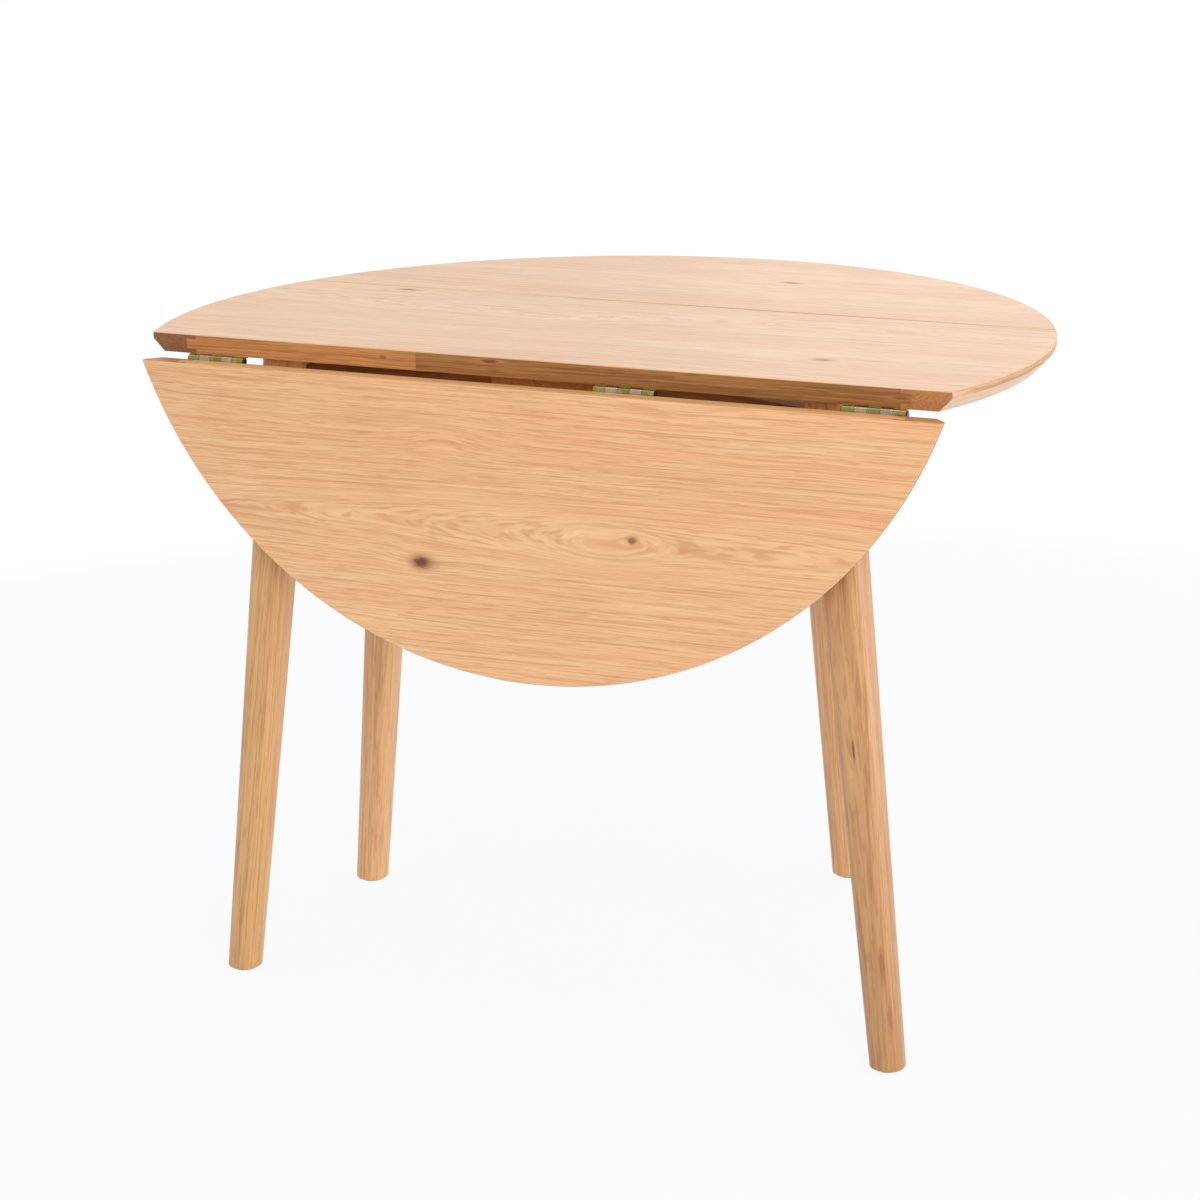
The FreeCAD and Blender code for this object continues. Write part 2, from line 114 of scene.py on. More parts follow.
def vector_calc(tree, operation, *values):
    """The result of a sum on vectors."""
    made = add(tree, "ShaderNodeVectorMath", operation=operation)
    for socket, value in zip(made.inputs, values):
        give(tree, socket, value)
    return made.outputs["Value" if operation in ("LENGTH", "DOT_PRODUCT") else "Vector"]


def parts_of(tree, vector):
    """The three numbers of a vector."""
    made = add(tree, "ShaderNodeSeparateXYZ")
    give(tree, made.inputs[0], vector)
    return made.outputs[0], made.outputs[1], made.outputs[2]


def vector_of(tree, x, y, z):
    """A vector from three numbers."""
    made = add(tree, "ShaderNodeCombineXYZ")
    for socket, value in zip(made.inputs, (x, y, z)):
        give(tree, socket, value)
    return made.outputs[0]


def ease(tree, value, low, high):
    """A smooth step from 0 to 1 as a value goes from low to high."""
    made = add(tree, "ShaderNodeMapRange", interpolation_type="SMOOTHSTEP")
    for name, number in (("Value", value), ("From Min", low), ("From Max", high)):
        give(tree, made.inputs[name], number)
    return made.outputs[0]


def mix(tree, share, first, second, mode="MIX"):
    """A colour between two others."""
    made = add(tree, "ShaderNodeMix", data_type="RGBA", blend_type=mode)
    for index, value in ((0, share), (6, first), (7, second)):
        give(tree, made.inputs[index], value)
    return made.outputs[2]


def noise(tree, place, stretch, detail=2.0):
    """Soft noise about 0.5. The stretch is how finely it changes along each axis."""
    made = add(tree, "ShaderNodeTexNoise")
    give(tree, made.inputs["Vector"], vector_calc(tree, "MULTIPLY", place, stretch))
    made.inputs["Scale"].default_value = 1.0
    made.inputs["Detail"].default_value = detail
    return made.outputs[0]


def new_group(name, inputs, outputs):
    """An empty shader group with named sockets."""
    tree = bpy.data.node_groups.new(name, "ShaderNodeTree")
    for title, kind in inputs.items():
        tree.interface.new_socket(title, in_out="INPUT", socket_type="NodeSocket" + kind)
    for title, kind in outputs.items():
        tree.interface.new_socket(title, in_out="OUTPUT", socket_type="NodeSocket" + kind)
    return tree, add(tree, "NodeGroupInput").outputs, add(tree, "NodeGroupOutput").inputs


def placed(tree, group, **values):
    """A group placed in a material, with its own values. Socket names have underscores for spaces."""
    made = add(tree, "ShaderNodeGroup", node_tree=group)
    for name, value in values.items():
        give(tree, made.inputs[name.replace("_", " ")], value)
    return made.outputs


# Oak grain. A stretch goes along the grain first, then across it. Limits are the levels of noise
# between which a mark comes in.
sweep_stretch = (2.2, 7.0, 7.0)
sweep_reach = 0.036
ripple_stretch = (12.0, 50.0, 50.0)
ripple_reach = 0.006
flow_slant = 0.15
ring_change_stretch = (0.43, 1.0, 1.0)
ring_change_share = 2.4
early_wood_fall = 2.2
early_wood_start = (0.0, 0.12)
early_wood_stretch = (8.0, 200.0, 200.0)
early_wood_limits = (0.36, 0.62)
crowd_level = 0.2
crowd_share = 0.12
long_pore_stretch = (8.0, 740.0, 740.0)
long_pore_limits = (0.50, 0.67)
short_pore_stretch = (34.0, 780.0, 780.0)
short_pore_detail = 1.5
short_pore_limits = (0.52, 0.66)
short_pore_share = 0.85
aside_step = (0.37, 0.21, 0.13)
pale_line_stretch = (7.0, 700.0, 700.0)
pale_line_limits = (0.49, 0.66)
pale_line_share = 0.5
slow_stretch = (1.3, 13.0, 13.0)
slow_detail = 3.0
slow_share = 0.45
streak_stretch = (5.0, 560.0, 560.0)
streak_share = 0.55
tone_limits = (0.36, 0.64)
blush_stretch = (2.6, 34.0, 34.0)
blush_limits = (0.44, 0.66)
blush_share = 0.5
fleck_stretch = (55.0, 190.0, 24.0)
fleck_detail = 1.0
fleck_limits = (0.66, 0.76)
fleck_share = 0.2
oak_roughness = 0.34
pore_roughness = 0.16
slow_roughness = 0.12


def make_oak_grain():
    """Oak about a pith along X. Pores and streaks run along the growth rings, so they bend with them.

    A veneer gives the depth of its pith under the face, which keeps its streaks equally fine all over.
    """
    tree, given, result = new_group(
        "oak grain",
        {"Place": "Vector", "Figure": "Float", "Depth": "Float", "Wander": "Float",
         "Ring Width": "Float", "Ring Strength": "Float", "Pore Strength": "Float",
         "Light": "Color", "Dark": "Color", "Pore": "Color", "Blush": "Color"},
        {"Color": "Color", "Roughness": "Float", "Height": "Float"})
    place = given["Place"]
    x, y, z = parts_of(tree, place)
    sweep = swing(tree, noise(tree, place, sweep_stretch), sweep_reach)
    ripple = swing(tree, noise(tree, place, ripple_stretch), ripple_reach)
    bend = scaled(tree, calc(tree, "ADD", sweep, ripple), given["Wander"])
    from_pith = vector_calc(tree, "LENGTH", vector_of(tree, 0.0, y, z))
    ring_place = calc(tree, "SUBTRACT", calc(tree, "ADD", from_pith, bend), given["Figure"])
    squares = [scaled(tree, value, value) for value in (ring_place, given["Depth"])]
    across = calc(tree, "SQRT", calc(tree, "ABSOLUTE", calc(tree, "SUBTRACT", *squares)))
    flow = vector_of(tree, x, across, calc(tree, "ADD", z, scaled(tree, y, flow_slant)))

    # Early wood at the start of each ring, broken along the grain
    ring = calc(tree, "DIVIDE", ring_place, given["Ring Width"])
    change = noise(tree, vector_of(tree, ring, 0.0, 0.0), ring_change_stretch)
    share = calc(tree, "FRACT", calc(tree, "ADD", ring, scaled(tree, change, ring_change_share)))
    fall = calc(tree, "POWER", calc(tree, "SUBTRACT", 1.0, share), early_wood_fall)
    whole = scaled(tree, fall, ease(tree, share, *early_wood_start))
    early = scaled(tree, whole, ease(tree, noise(tree, flow, early_wood_stretch), *early_wood_limits))

    # Long and short pores, which crowd in the early wood
    crowd = scaled(tree, calc(tree, "SUBTRACT", early, crowd_level), crowd_share)
    long_level = calc(tree, "ADD", noise(tree, flow, long_pore_stretch), crowd)
    short_level = calc(tree, "ADD", noise(tree, flow, short_pore_stretch, short_pore_detail), crowd)
    short_pores = scaled(tree, ease(tree, short_level, *short_pore_limits), short_pore_share)
    pores = calc(tree, "MAXIMUM", ease(tree, long_level, *long_pore_limits), short_pores)

    # Colour: slow and streaky tone, a blush, early wood, pale lines, pores and flecks
    aside = vector_calc(tree, "ADD", flow, aside_step)
    pale = ease(tree, noise(tree, aside, pale_line_stretch), *pale_line_limits)
    slow = noise(tree, place, slow_stretch, slow_detail)
    streak = noise(tree, flow, streak_stretch)
    tone = calc(tree, "ADD", scaled(tree, slow, slow_share), scaled(tree, streak, streak_share))
    wood = mix(tree, ease(tree, tone, *tone_limits), given["Light"], given["Dark"])
    blush = ease(tree, noise(tree, aside, blush_stretch), *blush_limits)
    wood = mix(tree, scaled(tree, blush, blush_share), wood, given["Blush"])
    wood = mix(tree, scaled(tree, early, given["Ring Strength"]), wood, given["Pore"])
    wood = mix(tree, scaled(tree, pale, pale_line_share), wood, given["Light"])
    wood = mix(tree, scaled(tree, pores, given["Pore Strength"]), wood, given["Pore"])
    fleck = ease(tree, noise(tree, place, fleck_stretch, fleck_detail), *fleck_limits)
    wood = mix(tree, scaled(tree, fleck, fleck_share), wood, given["Light"])
    give(tree, result["Color"], wood)
    rough = calc(tree, "ADD", oak_roughness, scaled(tree, pores, pore_roughness))
    give(tree, result["Roughness"], calc(tree, "ADD", rough, scaled(tree, slow, slow_roughness)))
    give(tree, result["Height"], calc(tree, "SUBTRACT", 1.0, pores))
    return tree


def make_swelling():
    """A swelling of the growth rings round a point in grain space.

    It draws an eye in the figure, or bends the lines round a knot.
    """
    tree, given, result = new_group(
        "ring swelling",
        {"Place": "Vector", "Centre": "Vector", "Spread Before": "Float", "Spread After": "Float",
         "Spread Across": "Float", "Rise": "Float"},
        {"Figure": "Float", "Nearness": "Float"})
    x, y, _ = parts_of(tree, vector_calc(tree, "SUBTRACT", given["Place"], given["Centre"]))
    before = calc(tree, "DIVIDE", calc(tree, "MINIMUM", x, 0.0), given["Spread Before"])
    after = calc(tree, "DIVIDE", calc(tree, "MAXIMUM", x, 0.0), given["Spread After"])
    across = calc(tree, "DIVIDE", y, given["Spread Across"])
    away = vector_calc(tree, "LENGTH", vector_of(tree, before, after, across))
    near = calc(tree, "POWER", math.e, scaled(tree, scaled(tree, away, away), -1.0))
    give(tree, result["Nearness"], near)
    give(tree, result["Figure"], scaled(tree, near, given["Rise"]))
    return tree


# Knots: how ragged the edge is, and the nearness at which the ring and the heart come in
knot_edge_stretch = (160.0, 420.0, 160.0)
knot_edge_detail = 3.0
knot_edge_reach = 0.9
knot_ring_limits = (0.005, 0.4)
knot_ring_share = 0.6
knot_heart_limits = (0.3, 0.9)


def make_knot_core():
    """The dark heart of a knot with a ragged edge, and a redder ring round it."""
    tree, given, result = new_group(
        "knot core",
        {"Wood": "Color", "Heart": "Color", "Halo": "Color", "Place": "Vector", "Nearness": "Float",
         "Strength": "Float"},
        {"Color": "Color"})
    ragged = swing(tree, noise(tree, given["Place"], knot_edge_stretch, knot_edge_detail), knot_edge_reach)
    near = scaled(tree, given["Nearness"], calc(tree, "ADD", 1.0, ragged))
    halo = scaled(tree, ease(tree, near, *knot_ring_limits), given["Strength"])
    heart = scaled(tree, ease(tree, near, *knot_heart_limits), given["Strength"])
    ringed = mix(tree, scaled(tree, halo, knot_ring_share), given["Wood"], given["Halo"])
    give(tree, result["Color"], mix(tree, heart, ringed, given["Heart"]))
    return tree


# Plated metal: clouds and blooms in the plating, rubbing marks along X, and pits
cloud_stretch = (1.0, 1.0, 1.0)
cloud_detail = 3.0
cloud_limits = (0.36, 0.64)
bloom_stretch = (1.7, 2.6, 2.6)
bloom_limits = (0.48, 0.70)
bloom_share = 0.8
rub_stretch = (240.0, 2600.0, 2600.0)
rub_limits = (0.55, 0.75)
rub_share = 0.3
pit_stretch = (1500.0, 1500.0, 1500.0)
pit_height = 0.6
rub_height = 0.4
metal_roughness = 0.14
rub_roughness = 0.2
bloom_roughness = 0.08


def make_plating():
    """Plated metal: cloudy changes between three tints, fine rubbing marks and a finely pitted surface."""
    tree, given, result = new_group(
        "plating",
        {"Place": "Vector", "Base": "Color", "Tint": "Color", "Bloom": "Color", "Cloud Scale": "Float"},
        {"Color": "Color", "Roughness": "Float", "Height": "Float"})
    scale = given["Cloud Scale"]
    place = vector_calc(tree, "MULTIPLY", given["Place"], vector_of(tree, scale, scale, scale))
    cloud = ease(tree, noise(tree, place, cloud_stretch, cloud_detail), *cloud_limits)
    bloom = ease(tree, noise(tree, place, bloom_stretch), *bloom_limits)
    rub = noise(tree, given["Place"], rub_stretch)
    pits = noise(tree, given["Place"], pit_stretch)
    metal = mix(tree, cloud, given["Base"], given["Tint"])
    metal = mix(tree, scaled(tree, bloom, bloom_share), metal, given["Bloom"])
    metal = mix(tree, scaled(tree, ease(tree, rub, *rub_limits), rub_share), metal, given["Base"])
    give(tree, result["Color"], metal)
    rough = calc(tree, "ADD", metal_roughness, scaled(tree, rub, rub_roughness))
    give(tree, result["Roughness"], calc(tree, "ADD", rough, scaled(tree, bloom, bloom_roughness)))
    relief = calc(tree, "ADD", scaled(tree, pits, pit_height), scaled(tree, rub, rub_height))
    give(tree, result["Height"], relief)
    return tree


oak_grain = make_oak_grain()
ring_swelling = make_swelling()
knot_core = make_knot_core()
plating = make_plating()


def oak_tones(*shades):
    """The colours of one oak: pale and darker wood, the pores with the early wood, and a blush."""
    return [colour(*shade) for shade in shades]


face_tones = oak_tones((251, 203, 149), (238, 180, 126), (201, 126, 72), (248, 182, 128))
# The raised top's oak is the leaf's oak made paler and pinker: its own colour with a warm haze of painted
# glare
top_tones_with_glare = oak_tones((248, 206, 160), (234, 182, 136), (190, 126, 80), (244, 184, 138))
edging_tones = oak_tones((214, 148, 80), (186, 118, 54), (136, 78, 34), (206, 130, 66))
brown_tones = oak_tones((178, 120, 52), (144, 90, 32), (96, 55, 19), (166, 100, 41))
pale_block_tones = oak_tones((196, 134, 74), (170, 107, 50), (126, 72, 32), (188, 119, 62))
block_tones = oak_tones((164, 106, 56), (134, 82, 40), (88, 50, 24), (158, 94, 50))
leg_tones = oak_tones((230, 178, 116), (211, 154, 96), (164, 104, 56), (222, 157, 105))
dull_leg_tones = oak_tones((220, 168, 112), (200, 146, 94), (156, 98, 54), (212, 148, 102))
# A lighter copy of the legs' oak for the two back legs: painted light, as all four legs are of one wood
painted_light_leg_tones = oak_tones((246, 196, 138), (228, 172, 116), (180, 118, 70), (238, 174, 124))
rail_tones = oak_tones((150, 102, 60), (124, 80, 44), (84, 50, 26), (146, 94, 54))
leaf_edge_tones = oak_tones((250, 196, 132), (236, 172, 108), (196, 126, 70), (244, 176, 116))
# A paler copy of the rim oak for the right rim: painted light falling on the right side
painted_light_rim_tones = oak_tones((212, 160, 106), (190, 136, 84), (150, 96, 54), (202, 144, 96))
# Painted glare: a near white mixed over the rims' bevels, standing in for a bright reflection of the floor
bevel_glare_tone = colour(255, 232, 210)
# The colour of the painted shadow in the seam's gap
seam_shadow_tone = colour(184, 102, 48)
foot_tint = (0.72, 0.69, 0.66, 1.0)
knot_heart = colour(82, 34, 8)
knot_tan = colour(150, 88, 34)
knot_halo = colour(206, 126, 78)

# How a kind of piece is cut from the log: ring width, and the strength of rings, pores and wander
top_cut = dict(Ring_Width=0.0095, Ring_Strength=0.16, Pore_Strength=0.26, Wander=0.4)
leaf_cut = dict(Ring_Width=0.0062, Ring_Strength=0.16, Pore_Strength=0.46, Wander=0.35)
strip_cut = dict(Ring_Width=0.0055, Ring_Strength=0.26, Pore_Strength=0.44, Wander=0.3)
rim_cut = dict(Ring_Width=0.0048, Ring_Strength=0.3, Pore_Strength=0.5, Wander=0.3)
end_cut = dict(Ring_Width=0.0048, Ring_Strength=0.25, Pore_Strength=0.35, Wander=0.3)
bar_cut = dict(Ring_Width=0.011, Ring_Strength=0.4, Pore_Strength=0.4, Wander=0.3)

# Share of the clear coat over the top's boards, the edges of strips and rims, the legs and other bars
top_coat = 0.3
edge_coat = 0.1
leg_coat = 0.22
bar_coat = 0.12
coat_roughness = 0.24

# Reliefs, each a strength and a depth
pore_relief = (0.22, 0.0004)
metal_relief = (0.12, 0.0002)
felt_relief = (0.5, 0.0006)


class Finish:
    """A material's tree with its shader, and the steps that oak and metal finishes share."""

    def __init__(self, name):
        self.material = bpy.data.materials.new(name)
        self.material.use_nodes = True
        self.tree = self.material.node_tree
        self.shader = self.tree.nodes["Principled BSDF"]
        self.source = add(self.tree, "ShaderNodeTexCoord")

    def grain_place(self, along, across, pith):
        """Object coordinates turned so that the grain runs along X, measured from a point on the pith."""
        along = along.normalized()
        across = (across - along * along.dot(across)).normalized()
        turn = Matrix((along, across, along.cross(across)))
        made = add(self.tree, "ShaderNodeMapping")
        give(self.tree, made.inputs["Vector"], self.source.outputs["Object"])
        made.inputs["Rotation"].default_value = turn.to_euler("XYZ")
        made.inputs["Location"].default_value = -(turn @ pith)
        return made.outputs[0]

    def look(self, direction):
        """How far a face looks in a direction of the piece, from -1 to 1."""
        return vector_calc(self.tree, "DOT_PRODUCT", self.source.outputs["Normal"], direction)

    def oak(self, place, tones, cut, figure=0.0, depth=0.0):
        """Colour, roughness and height of oak at a place in grain space."""
        made = placed(self.tree, oak_grain, Place=place, Figure=figure, Depth=depth, **cut,
                      Light=tones[0], Dark=tones[1], Pore=tones[2], Blush=tones[3])
        return made["Color"], made["Roughness"], made["Height"]

    def lacquer(self, wood, roughness, height, coat):
        """Satin lacquer over wood, whose pores show as a fine relief."""
        give(self.tree, self.shader.inputs["Base Color"], wood)
        give(self.tree, self.shader.inputs["Roughness"], roughness)
        give(self.tree, self.shader.inputs["Coat Weight"], coat)
        self.shader.inputs["Coat Roughness"].default_value = coat_roughness
        self.relief(height, *pore_relief)

    def relief(self, height, strength, distance):
        """A bump from a height."""
        bump = add(self.tree, "ShaderNodeBump")
        bump.inputs["Strength"].default_value = strength
        bump.inputs["Distance"].default_value = distance
        give(self.tree, bump.inputs["Height"], height)
        give(self.tree, self.shader.inputs["Normal"], bump.outputs[0])


def swellings(finish, place, marks):
    """Ring swellings at several points, as one figure, and the nearness of each."""
    figure, nearness = 0.0, []
    for centre, before, after, across, rise in marks:
        made = placed(finish.tree, ring_swelling, Place=place, Centre=centre, Spread_Before=before,
                      Spread_After=after, Spread_Across=across, Rise=rise)
        figure = calc(finish.tree, "ADD", figure, made["Figure"])
        nearness.append(made["Nearness"])
    return figure, nearness


def hearts(finish, wood, place, knots, heart=knot_heart):
    """Dark hearts in the wood at several knots."""
    for centre, length, width, strength in knots:
        near = placed(finish.tree, ring_swelling, Place=place, Centre=centre, Spread_Before=length,
                      Spread_After=length, Spread_Across=width, Rise=0.0)["Nearness"]
        wood = placed(finish.tree, knot_core, Wood=wood, Heart=heart, Halo=knot_halo, Place=place,
                      Nearness=near, Strength=strength)["Color"]
    return wood


# The raised top's veneer: X along the table and Y across it. Here and below, a mark is a centre, its spread
# before, after and across it, and its rise, and a knot is a centre, a length, a width and a strength.
top_pith_depth = 0.06
top_pith = Vector((0.0, 0.105, top_z - top_pith_depth))


def on_top(x, y):
    """A point of the raised top's face in the grain space of its veneer."""
    return (x, y - top_pith.y, top_pith_depth)


top_back_knot = on_top(0.0884, 0.3526)
top_front_knot = on_top(0.2888, -0.0672)
top_left_knot = on_top(-0.3230, 0.1585)
top_marks = [
    (top_back_knot, 0.05, 0.05, 0.012, 0.012),
    (top_front_knot, 0.05, 0.05, 0.012, 0.012),
    (top_left_knot, 0.06, 0.06, 0.012, 0.010),
    (on_top(-0.12, 0.02), 0.34, 0.22, 0.06, 0.035),
]
top_knots = [
    (top_back_knot, 0.012, 0.0055, 0.9),
    (top_front_knot, 0.012, 0.0055, 0.9),
    (top_left_knot, 0.016, 0.0050, 0.8),
]

# The hanging leaf's veneer: X along the table and Y up the leaf, from a pith below the circle's centre.
# Its first mark is the eye, where the pores are calmer.
leaf_pith_depth = 0.045
leaf_pith_drop = 0.3316
leaf_pith = Vector((0.0, leaf_face_y + leaf_pith_depth, leaf_centre_z - leaf_pith_drop))
leaf_eye_calm = 0.65


def on_leaf(x, y):
    """A point of the hanging leaf's face in the grain space of its veneer."""
    return (x, y, leaf_pith_depth)


leaf_dark_knot = on_leaf(-0.1249, -0.0443)
leaf_eye_knot = on_leaf(0.1269, 0.0029)
leaf_marks = [
    (on_leaf(0.090, -0.006), 0.05, 0.070, 0.022, 0.010),
    (on_leaf(0.090, 0.000), 0.26, 3.0, 0.050, 0.012),
    (on_leaf(-0.090, 0.098), 0.05, 0.035, 0.014, 0.009),
    (leaf_dark_knot, 0.040, 0.040, 0.014, 0.004),
    (leaf_eye_knot, 0.016, 0.016, 0.009, 0.005),
]
leaf_knots = [
    (leaf_dark_knot, 0.0125, 0.0080, 0.95),
    (on_leaf(-0.1160, -0.0450), 0.0180, 0.0090, 0.22),
    (leaf_eye_knot, 0.0065, 0.0050, 0.66),
]


def top_face_oak(finish):
    """Veneer that runs across the raised top in one piece."""
    place = finish.grain_place(right, back, top_pith)
    figure, _ = swellings(finish, place, top_marks)
    wood, roughness, height = finish.oak(place, top_tones_with_glare, top_cut, figure, top_pith_depth)
    return hearts(finish, wood, place, top_knots, knot_tan), roughness, height


def leaf_face_oak(finish):
    """Veneer of the hanging leaf, with its eye figure and two knots."""
    place = finish.grain_place(right, up, leaf_pith)
    figure, nearness = swellings(finish, place, leaf_marks)
    calm = calc(finish.tree, "SUBTRACT", 1.0, scaled(finish.tree, nearness[0], leaf_eye_calm))
    cut = {**leaf_cut, "Pore_Strength": scaled(finish.tree, calm, leaf_cut["Pore_Strength"])}
    wood, roughness, height = finish.oak(place, face_tones, cut, figure, leaf_pith_depth)
    return hearts(finish, wood, place, leaf_knots), roughness, height


def merge(finish, share, first, second):
    """Colour, roughness and height of two woods, joined by a mask."""
    tree = finish.tree
    wood = mix(tree, share, first[0], second[0])
    rest = []
    for one, two in zip(first[1:], second[1:]):
        made = add(tree, "ShaderNodeMix", data_type="FLOAT")
        for index, value in ((0, share), (2, one), (3, two)):
            give(tree, made.inputs[index], value)
        rest.append(made.outputs[0])
    return (wood, *rest)


# The veneered face of a strip or rim comes in as the surface turns to the face's direction
face_limits = (0.55, 0.75)


def veneer_over(finish, side, face, face_direction):
    """Lacquered solid wood with a face's veneer carried over it, under a thinner coat on the edges."""
    share = ease(finish.tree, finish.look(face_direction), *face_limits)
    coat = calc(finish.tree, "ADD", edge_coat, scaled(finish.tree, share, top_coat - edge_coat))
    finish.lacquer(*merge(finish, share, side, face), coat)


def board_finish(name, face_oak):
    """A veneered board."""
    finish = Finish(name)
    finish.lacquer(*face_oak(finish), top_coat)
    return finish.material


# A painted shadow in the seam's gap between the panel and the raised leaf: a darker line on both its sides,
# which fades out along X
seam_reach = 0.004
seam_shadow_strength = 0.7
seam_left_limits = (-0.2, 0.05)
seam_right_limits = (0.48, 0.33)


def painted_seam_shadow(finish, wood, seam_y):
    """Wood with a painted shadow along a hinge line: the darker line of the seam's gap."""
    tree = finish.tree
    x, y, _ = parts_of(tree, finish.source.outputs["Object"])
    off = calc(tree, "ABSOLUTE", calc(tree, "SUBTRACT", y, seam_y))
    shown = scaled(tree, ease(tree, x, *seam_left_limits), ease(tree, x, *seam_right_limits))
    strength = scaled(tree, shown, seam_shadow_strength)
    return mix(tree, scaled(tree, ease(tree, off, seam_reach, 0.0), strength), wood, seam_shadow_tone)


def strip_finish(name, face_oak, face_direction, pith, tones, knots=(), seam_y=None):
    """A solid edge strip with the face's veneer over it, with a painted shadow along the seam of a raised
    leaf.
    """
    finish = Finish(name)
    place = finish.grain_place(right, face_direction, pith)
    wood, roughness, height = finish.oak(place, tones, strip_cut)
    side = (hearts(finish, wood, place, knots), roughness, height)
    face = face_oak(finish)
    if seam_y is not None:
        face = (painted_seam_shadow(finish, face[0], seam_y), *face[1:])
    veneer_over(finish, side, face, face_direction)
    return finish.material


# Rims: the pith lies inside the curve and over the face. Straight cuts, the bevel and the underside are
# told apart by how far a surface looks across the table, or away from the face.
rim_pith_inside = 0.09
rim_pith_over = 0.05
rim_cut_limits = (0.93, 0.98)
rim_bevel_limits = (0.4, 0.6)
rim_under_limits = (0.85, 0.95)
# The share of painted glare on the bevels, strongest on the right rim
bevel_glare_share = 0.15
right_bevel_glare_share = 0.35


def rim_finish(name, face_oak, face_direction, centre, across, tones, end_tones, glare_share=bevel_glare_share):
    """A curved rim: grain along the curve, end grain on its straight cuts, and a painted pale glare on the
    bevel.
    """
    finish = Finish(name)
    tree = finish.tree
    x, y, z = parts_of(tree, finish.grain_place(right, across, centre))
    out = vector_calc(tree, "LENGTH", vector_of(tree, x, y, 0.0))
    round_the_rim = scaled(tree, calc(tree, "ARCTAN2", x, y), top_radius)
    inward = calc(tree, "SUBTRACT", out, top_radius - rim_pith_inside)
    curved = vector_of(tree, round_the_rim, inward, calc(tree, "SUBTRACT", z, rim_pith_over))
    straight_cut = ease(tree, calc(tree, "ABSOLUTE", finish.look(across)), *rim_cut_limits)
    long_oak = finish.oak(curved, tones, rim_cut)
    wood, roughness, height = merge(finish, straight_cut, long_oak, finish.oak(curved, end_tones, end_cut))
    down = scaled(tree, finish.look(face_direction), -1.0)
    under = ease(tree, down, *rim_under_limits)
    bevel = calc(tree, "SUBTRACT", ease(tree, down, *rim_bevel_limits), under)
    # Painted glare: the bevel is paled towards a near white
    wood = mix(tree, scaled(tree, bevel, glare_share), wood, bevel_glare_tone)
    veneer_over(finish, (wood, roughness, height), face_oak(finish), face_direction)
    return finish.material


# Heights above the foot between which a shaded leg darkens
foot_shade_limits = (0.4, 0.05)


def bar_finish(name, along, across, pith, tones, coat=bar_coat, foot_shade=0.0, knots=()):
    """A straight piece of solid oak, such as a leg or a rail, which may darken towards its foot."""
    finish = Finish(name)
    tree = finish.tree
    place = finish.grain_place(along, across, pith)
    wood, roughness, height = finish.oak(place, tones, bar_cut)
    wood = hearts(finish, wood, place, knots)
    if foot_shade:
        up_the_bar = parts_of(tree, place)[0]
        shade = scaled(tree, ease(tree, up_the_bar, *foot_shade_limits), foot_shade)
        wood = mix(tree, shade, wood, foot_tint, "MULTIPLY")
    finish.lacquer(wood, roughness, height, coat)
    return finish.material


def metal_finish(name, base, tint, bloom, cloud_scale):
    """A plated or plain metal in three tints."""
    finish = Finish(name)
    metal = placed(finish.tree, plating, Place=finish.source.outputs["Object"], Cloud_Scale=cloud_scale,
                   Base=colour(*base), Tint=colour(*tint), Bloom=colour(*bloom))
    give(finish.tree, finish.shader.inputs["Base Color"], metal["Color"])
    give(finish.tree, finish.shader.inputs["Roughness"], metal["Roughness"])
    finish.shader.inputs["Metallic"].default_value = 1.0
    finish.relief(metal["Height"], *metal_relief)
    return finish.material


# Felt: fibres and tufts, and its soft nap
fibre_stretch = (900.0, 900.0, 900.0)
fibre_detail = 4.0
fibre_limits = (0.35, 0.65)
fibre_dark = colour(44, 36, 30)
fibre_pale = colour(92, 78, 66)
tuft_stretch = (160.0, 160.0, 160.0)
tuft_limits = (0.4, 0.7)
tuft_share = 0.4
tuft_tone = colour(66, 54, 46)
felt_roughness = 0.95
felt_sheen = 0.25


def felt_finish(name):
    """Pressed dark felt: matted fibres with a soft nap."""
    finish = Finish(name)
    tree = finish.tree
    place = finish.source.outputs["Object"]
    fibres = noise(tree, place, fibre_stretch, fibre_detail)
    tufts = ease(tree, noise(tree, place, tuft_stretch), *tuft_limits)
    wool = mix(tree, ease(tree, fibres, *fibre_limits), fibre_dark, fibre_pale)
    wool = mix(tree, scaled(tree, tufts, tuft_share), wool, tuft_tone)
    give(tree, finish.shader.inputs["Base Color"], wool)
    finish.shader.inputs["Roughness"].default_value = felt_roughness
    finish.shader.inputs["Sheen Weight"].default_value = felt_sheen
    finish.relief(fibres, *felt_relief)
    return finish.material


def dress(material, *names):
    """Give CAD nodes a finish."""
    for name in names:
        slots = nodes[name].data.materials
        if not slots:
            slots.append(material)
        for index in range(len(slots)):
            slots[index] = material


def middle(name):
    """The middle of a CAD node's box."""
    low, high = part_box(name)
    return (low + high) / 2


def leg_line(name):
    """The top and foot of a leg's middle line, from the rings of points at its ends."""
    low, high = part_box(name)
    points = [v.co for v in nodes[name].data.vertices]
    ring_height = 0.001
    top = [p for p in points if p.z > high.z - ring_height]
    foot = [p for p in points if p.z < low.z + ring_height]
    return sum(top, Vector()) / len(top), sum(foot, Vector()) / len(foot)


# Small knots of the front strips, each X, the drop below the top, length, width and strength
front_left_specks = [(-0.1776, 0.009, 0.006, 0.0028, 0.45)]
front_right_specks = [
    (-0.049, 0.0045, 0.013, 0.0026, 0.8),
    (0.414, 0.010, 0.012, 0.0022, 0.5),
]


